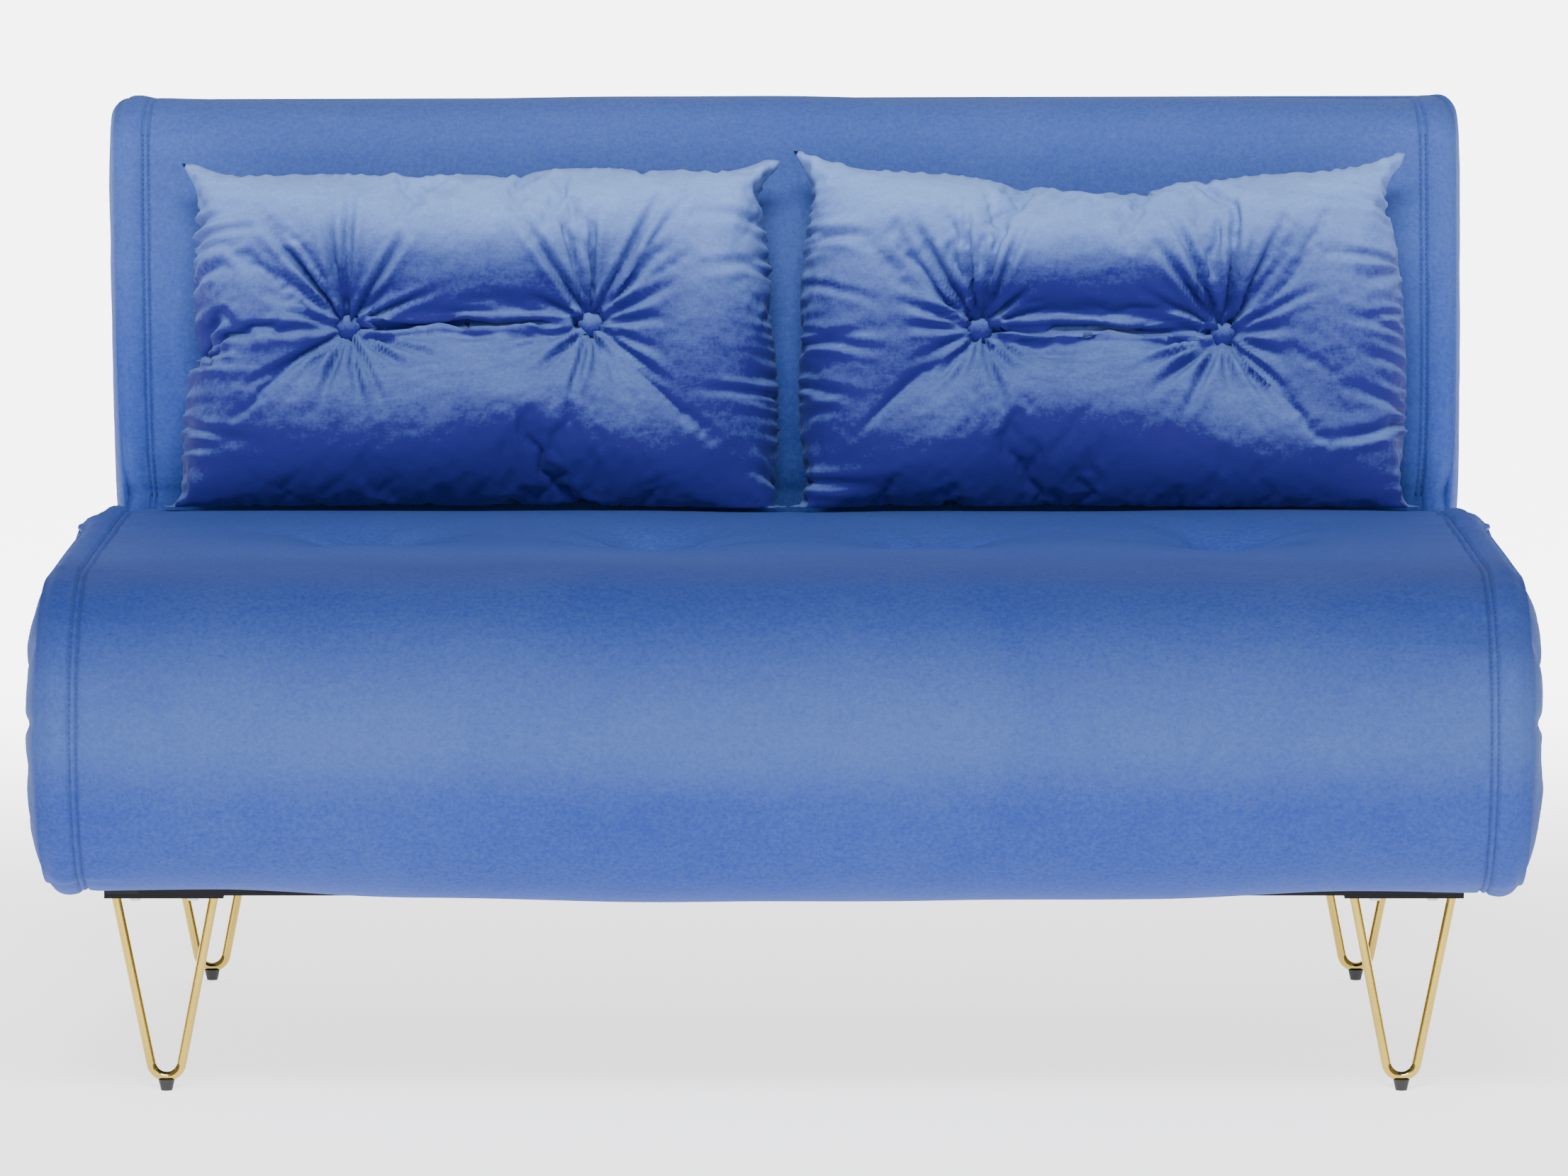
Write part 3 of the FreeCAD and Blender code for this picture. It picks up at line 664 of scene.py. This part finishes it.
# ---- scatter cushions -----------------------------------------------------------------------
CUSHION_W, CUSHION_H = 0.566, 0.332     # flat cut, before filling
CUSHION_N, CUSHION_S = 0.188, 0.229     # centre: out of the backrest, and up it
GRID_X, GRID_Y = 92, 56
SIDE_BOW, TOP_BOW = 0.036, 0.106
PIN_Z, PIN_RADIUS = 0.012, 0.0125       # the cloth that a button holds: half its thickness, its radius
BUTTON_RADIUS, BUTTON_DOME = 0.0112, 0.0070
FILL_FRAMES = 34
BACK_GAP, SEAT_GAP, PRESS = 0.0025, 0.002, 0.04     # what rests on the mattress is pressed nearly flat
# name, centre across, seed, taper towards the top, button places
LAYOUT = (
    ("left", -0.2665, 11, 0.060, ((-0.117, 0.013), (0.096, 0.016))),
    ("right", 0.2795, 29, 0.002, ((-0.107, 0.011), (0.107, 0.007))),
)


def pattern_grid(taper, finer=1):
    """Flat cut of one side of a cushion: its edges bow out, so that they end up nearly straight."""
    across = np.linspace(-1, 1, GRID_X * finer + 1)
    upward = np.linspace(-1, 1, GRID_Y * finer + 1)
    u, v = np.meshgrid(across, upward, indexing="ij")
    ear = 0.009 * (np.abs(u) * np.abs(v)) ** 10
    x = CUSHION_W / 2 * u * (1 + SIDE_BOW * (1 - v * v)) * (1 - taper * (v + 1) / 2) + np.sign(u) * ear
    y = CUSHION_H / 2 * v * (1 + TOP_BOW * (1 - u * u) ** 0.8) + np.sign(v) * ear
    return u, v, x, y


def cushion_faces(count_x, count_y):
    """Vertex numbers and faces of two sheets that share their edge."""
    index, total, faces = {}, 0, []
    for side in (1, -1):
        for i in range(count_x + 1):
            for j in range(count_y + 1):
                if side == -1 and (i in (0, count_x) or j in (0, count_y)):
                    index[side, i, j] = index[1, i, j]
                    continue
                index[side, i, j] = total
                total += 1
        for i in range(count_x):
            for j in range(count_y):
                a, b = index[side, i, j], index[side, i + 1, j]
                c, d = index[side, i + 1, j + 1], index[side, i, j + 1]
                faces.append((a, b, c, d) if side == 1 else (a, d, c, b))
    return index, total, faces


def cushion_sheet(seed, taper, buttons):
    """The two sewn sheets before they are filled."""
    rng = random.Random(seed)
    u, v, x, y = pattern_grid(taper)
    index, total, faces = cushion_faces(GRID_X, GRID_Y)
    points = [None] * total
    for (side, i, j), k in index.items():
        edge = i in (0, GRID_X) or j in (0, GRID_Y)
        puff = 0
        if not edge:
            puff = 0.030 * ((1 - u[i, j] ** 4) * (1 - v[i, j] ** 4)) ** 0.7 + rng.uniform(0, 0.0008)
        for bx, by in buttons:
            puff *= 1 - 0.35 * math.exp(-(math.hypot(x[i, j] - bx, y[i, j] - by) / 0.03) ** 2)
        points[k] = (x[i, j], y[i, j], side * puff)
    return index, points, faces


def refine(grid):
    """Twice as many points each way, on a smooth surface through the old ones."""
    for axis in (0, 1):
        g = np.moveaxis(grid, axis, 0)
        padded = np.concatenate([[2 * g[0] - g[1]], g, [2 * g[-1] - g[-2]]])
        middle = (9 * (padded[1:-2] + padded[2:-1]) - padded[:-3] - padded[3:]) / 16
        out = np.empty((2 * len(g) - 1, *g.shape[1:]))
        out[0::2], out[1::2] = g, middle
        grid = np.moveaxis(out, 0, axis)
    return grid


def crease_line(x, y, start, end, width, depth, fade_in=0.012):
    """A valley with low shoulders along a line, fading at its ends."""
    start, end = np.array(start), np.array(end)
    length = np.linalg.norm(end - start)
    way = (end - start) / length
    t = (x - start[0]) * way[0] + (y - start[1]) * way[1]
    off = np.abs((y - start[1]) * way[0] - (x - start[0]) * way[1])
    spread = width * (0.65 + 0.8 * np.clip(t / length, 0, 1))
    along = smooth(0, fade_in, t) * smooth(length, length * 0.35, t)
    shoulder = 0.55 * np.exp(-((off - 2.1 * spread) / (1.1 * spread)) ** 2)
    return along * depth * (shoulder - np.exp(-(off / spread) ** 2))


def wrinkles(x, y, u, v, taper, buttons, rng):
    """Outward displacement of one side: folds from the buttons, the line between them, seam puckers."""
    out = np.zeros_like(x)
    (ax, ay), (bx, by) = buttons
    out += crease_line(x, y, (ax, ay), (bx + 0.03, by), 0.0034, 0.0080)
    out += crease_line(x, y, (bx, by), (ax - 0.03, ay), 0.0034, 0.0080)
    for cx, cy in buttons:
        count = 17
        for k in range(count):
            angle = 2 * math.pi * (k + rng.uniform(-0.33, 0.33)) / count
            size = rng.uniform(0.5, 1.0)
            reach = rng.uniform(0.060, 0.115)
            if math.sin(angle) > 0.75:
                reach, size = rng.uniform(0.115, 0.165), rng.uniform(0.9, 1.25)
            end = (cx + reach * math.cos(angle), cy + reach * math.sin(angle))
            out += crease_line(x, y, (cx, cy), end, rng.uniform(0.0026, 0.0038), 0.0078 * size)
    for _ in range(20):
        side = rng.choice((-1, 1))
        y0 = rng.uniform(-0.13, 0.13)
        x0 = side * (CUSHION_W / 2 + 0.01)
        end = (x0 - side * rng.uniform(0.06, 0.13), y0 + rng.uniform(-0.03, 0.03))
        out += crease_line(x, y, (x0, y0), end, rng.uniform(0.0028, 0.0048), 0.0042 * rng.uniform(0.5, 1.0))
    half_w = CUSHION_W / 2 * (1 + SIDE_BOW * (1 - v * v)) * (1 - taper * (v + 1) / 2)
    half_h = CUSHION_H / 2 * (1 + TOP_BOW * (1 - u * u) ** 0.8)
    seams = ((half_w - np.abs(x), y, 0.0024, 0.017), (half_h - np.abs(y), x, 0.0017, 0.013))
    for edge, run, strength, deep in seams:
        phase = rng.uniform(0, 6)
        drift = 2.6 * np.sin(run * 31 + phase)
        wave = np.sin(run * 2 * math.pi / 0.0165 + drift + 1.7 * np.sin(run * 73 - phase))
        out += strength * wave * np.exp(-np.clip(edge, 0, 1) / deep) * smooth(0, 0.004, edge)
    return out


def sheet_normals(grid, side):
    """Outward unit normals of one sheet."""
    du = np.gradient(grid, axis=0)
    dv = np.gradient(grid, axis=1)
    n = np.cross(du, dv) * side
    return n / (np.linalg.norm(n, axis=2)[:, :, None] + 1e-12)


def finish_cushion(local, index, taper, buttons, seed):
    """Finer grids of the filled cover, with its wrinkles; returns points and faces."""
    rng = random.Random(seed + 100)
    fine_index, total, faces = cushion_faces(GRID_X * 2, GRID_Y * 2)
    u, v, x, y = pattern_grid(taper, 2)
    points = np.zeros((total, 3))
    for side in (-1, 1):
        columns = range(GRID_X + 1)
        coarse = np.array([[local[index[side, i, j]] for j in range(GRID_Y + 1)] for i in columns])
        grid = refine(coarse)
        push = wrinkles(x, y, u, v, taper, buttons, rng)
        grid = grid + sheet_normals(grid, side) * push[:, :, None]
        for i in range(GRID_X * 2 + 1):
            for j in range(GRID_Y * 2 + 1):
                points[fine_index[side, i, j]] = grid[i, j]
    return points, faces


def inflate(obj, buttons):
    """Points of the cover once it is filled, with its cloth held where the buttons are."""
    pins = obj.vertex_groups.new(name="pin")
    for v in obj.data.vertices:
        for bx, by in buttons:
            r = math.hypot(v.co.x - bx, v.co.y - by)
            if r < PIN_RADIUS:
                v.co.z = math.copysign(PIN_Z, v.co.z)
                pins.add([v.index], 1.0, "REPLACE")
    cloth = obj.modifiers.new("cloth", "CLOTH")
    s = cloth.settings
    s.quality = 6
    s.mass = 0.25
    s.tension_stiffness = 22
    s.compression_stiffness = 22
    s.shear_stiffness = 6
    s.bending_stiffness = 0.35
    s.tension_damping = 8
    s.compression_damping = 8
    s.shear_damping = 5
    s.air_damping = 3
    s.use_pressure = True
    s.uniform_pressure_force = 7.0
    s.vertex_group_mass = "pin"
    s.pin_stiffness = 1.0
    s.effector_weights.gravity = 0
    cloth.collision_settings.use_collision = False
    cloth.collision_settings.use_self_collision = False
    cloth.point_cache.frame_start = 1
    cloth.point_cache.frame_end = FILL_FRAMES
    for f in range(1, FILL_FRAMES + 1):
        bpy.context.scene.frame_set(f)
    depsgraph = bpy.context.evaluated_depsgraph_get()
    done = np.array([v.co[:] for v in obj.evaluated_get(depsgraph).data.vertices])
    obj.modifiers.clear()
    obj.vertex_groups.clear()
    bpy.context.scene.frame_set(1)
    return done


def to_world(centre_x, local):
    """Cushion coordinates to the object's: across, up the backrest, out of it."""
    s = CUSHION_S + local[:, 1]
    n = CUSHION_N + local[:, 2]
    d = PIVOT[0] + s * UP[0] + n * OUT[0]
    z = PIVOT[1] + s * UP[1] + n * OUT[1]
    return np.stack([centre_x + local[:, 0], FRONT + d, z], 1)


def velvet_piece(name, points, faces):
    """A smooth-shaded piece in the cushions' velvet."""
    mesh = bpy.data.meshes.new(name)
    mesh.from_pydata([tuple(p) for p in points], [], faces)
    mesh.materials.append(CUSHION_VELVET)
    mesh.polygons.foreach_set("use_smooth", [True] * len(faces))
    mesh.update()
    obj = bpy.data.objects.new(name, mesh)
    bpy.context.scene.collection.objects.link(obj)
    return obj


def make_cushion(name, centre_x, seed, taper, buttons):
    """One filled cushion, leaning on the back, with its buttons."""
    index, start, faces = cushion_sheet(seed, taper, buttons)
    local = np.array(start)
    work = bpy.data.objects.new("filling", bpy.data.meshes.new("filling"))
    work.data.from_pydata(start, [], faces)
    bpy.context.scene.collection.objects.link(work)
    local = inflate(work, buttons)
    bpy.data.objects.remove(work)
    local, faces = finish_cushion(local, index, taper, buttons, seed)
    pressed = local.copy()
    # it leans on the mattress behind and stands on the seat below
    rest_n = THICK_HIGH + BACK_GAP - CUSHION_N
    pressed[:, 2] = np.where(local[:, 2] < rest_n, rest_n + (local[:, 2] - rest_n) * PRESS, local[:, 2])
    placed = to_world(centre_x, pressed)
    ground = SEAT_TOP + SEAT_GAP
    placed[:, 2] = np.where(placed[:, 2] < ground, ground + (placed[:, 2] - ground) * PRESS, placed[:, 2])
    obj = velvet_piece(f"cushion_{name}_cover", placed, faces)
    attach(obj, "backrest")
    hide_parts(f"cushion_{name}")
    make_buttons(name, centre_x, buttons, local)


def make_buttons(name, centre_x, buttons, local):
    """Domed covered buttons, front and back."""
    points, faces = [], []
    rings, around = 9, 28
    for bx, by in buttons:
        for way in (1, -1):
            near = np.hypot(local[:, 0] - bx, local[:, 1] - by) < 0.008
            facing = near & (np.sign(local[:, 2]) == way)
            z0 = np.mean(local[facing, 2]) if facing.any() else way * PIN_Z
            base = len(points)
            for i in range(rings):
                a = i / (rings - 1) * (math.pi * 0.62)
                r = BUTTON_RADIUS * math.sin(a)
                z = z0 + way * (BUTTON_DOME * math.cos(a) + 0.0035)
                for k in range(around):
                    t = 2 * math.pi * k / around
                    pleat = 1 + 0.02 * math.sin(9 * t) * (i / rings) ** 2
                    points.append((bx + r * pleat * math.cos(t), by + r * pleat * math.sin(t), z))
            for i in range(rings - 1):
                for k in range(around):
                    q = (base + i * around + k, base + i * around + (k + 1) % around,
                         base + (i + 1) * around + (k + 1) % around, base + (i + 1) * around + k)
                    faces.append(q if way == -1 else q[::-1])
    placed = to_world(centre_x, np.array(points))
    obj = velvet_piece(f"cushion_{name}_button_caps", placed, faces)
    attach(obj, "backrest")
    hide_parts(f"cushion_buttons_{name}", f"cushion_tuft_cords_{name}")


for layout in LAYOUT:
    make_cushion(*layout)

# ---- floor, light and camera ----------------------------------------------------------------
FLOOR_SIZE, FLOOR_BACK = 40, 8
GLOW_NEAR, GLOW_MORE = 1.9, 4.0         # emission under the object, and what is added behind it
GLOW_START, GLOW_END = -7.4, -5.4       # from the floor's own centre
LENS, SENSOR = 188.6, 36.0
CAM_BACK, CAM_HIGH, CAM_PITCH = 6.6, 1.25, 6.89
WORLD_STRENGTH = 0.36

bpy.ops.mesh.primitive_plane_add(size=FLOOR_SIZE, location=(0, FLOOR_BACK, 0))
floor = bpy.context.object
floor.name = "floor"
floor_mat, floor_tree, floor_bsdf = new_material("floor_pale")
floor_bsdf.inputs["Base Color"].default_value = (0.90, 0.90, 0.90, 1)
floor_bsdf.inputs["Roughness"].default_value = 0.75
floor_bsdf.inputs["Emission Color"].default_value = (1, 1, 1, 1)
behind = fade(floor_tree, coords(floor_tree), 1, GLOW_START, GLOW_END)
glow = math_node(floor_tree, "ADD", math_node(floor_tree, "MULTIPLY", behind, GLOW_MORE), GLOW_NEAR)
floor_tree.links.new(glow, floor_bsdf.inputs["Emission Strength"])
floor.data.materials.append(floor_mat)


def area(name, place, aim, size, power):
    """A white area light at a place, turned towards a point."""
    data = bpy.data.lights.new(name, "AREA")
    data.shape = "RECTANGLE"
    data.size, data.size_y = size
    data.energy = power
    obj = bpy.data.objects.new(name, data)
    obj.location = place
    obj.rotation_euler = (Vector(aim) - Vector(place)).to_track_quat("-Z", "Y").to_euler()
    bpy.context.scene.collection.objects.link(obj)


area("key_high", (-0.25, -3.6, 3.3), (0, 0, 0.4), (2.2, 1.0), 215)
area("front_fill", (0.2, -5.2, 1.3), (0, 0, 0.35), (3.0, 1.2), 66)
area("back_rim", (0.0, 2.6, 2.4), (0, 0, 0.6), (3.0, 1.2), 30)
world = bpy.data.worlds.new("studio")
bpy.context.scene.world = world
world.use_nodes = True
world.node_tree.nodes["Background"].inputs["Color"].default_value = (1, 1, 1, 1)
world.node_tree.nodes["Background"].inputs["Strength"].default_value = WORLD_STRENGTH

cam_data = bpy.data.cameras.new("camera")
cam = bpy.data.objects.new("camera", cam_data)
bpy.context.scene.collection.objects.link(cam)
cam_data.lens = LENS
cam_data.sensor_width = SENSOR
cam.location = (0.0, FRONT - CAM_BACK, CAM_HIGH)
cam.rotation_euler = (math.radians(90 - CAM_PITCH), 0, 0)
bpy.context.scene.camera = cam
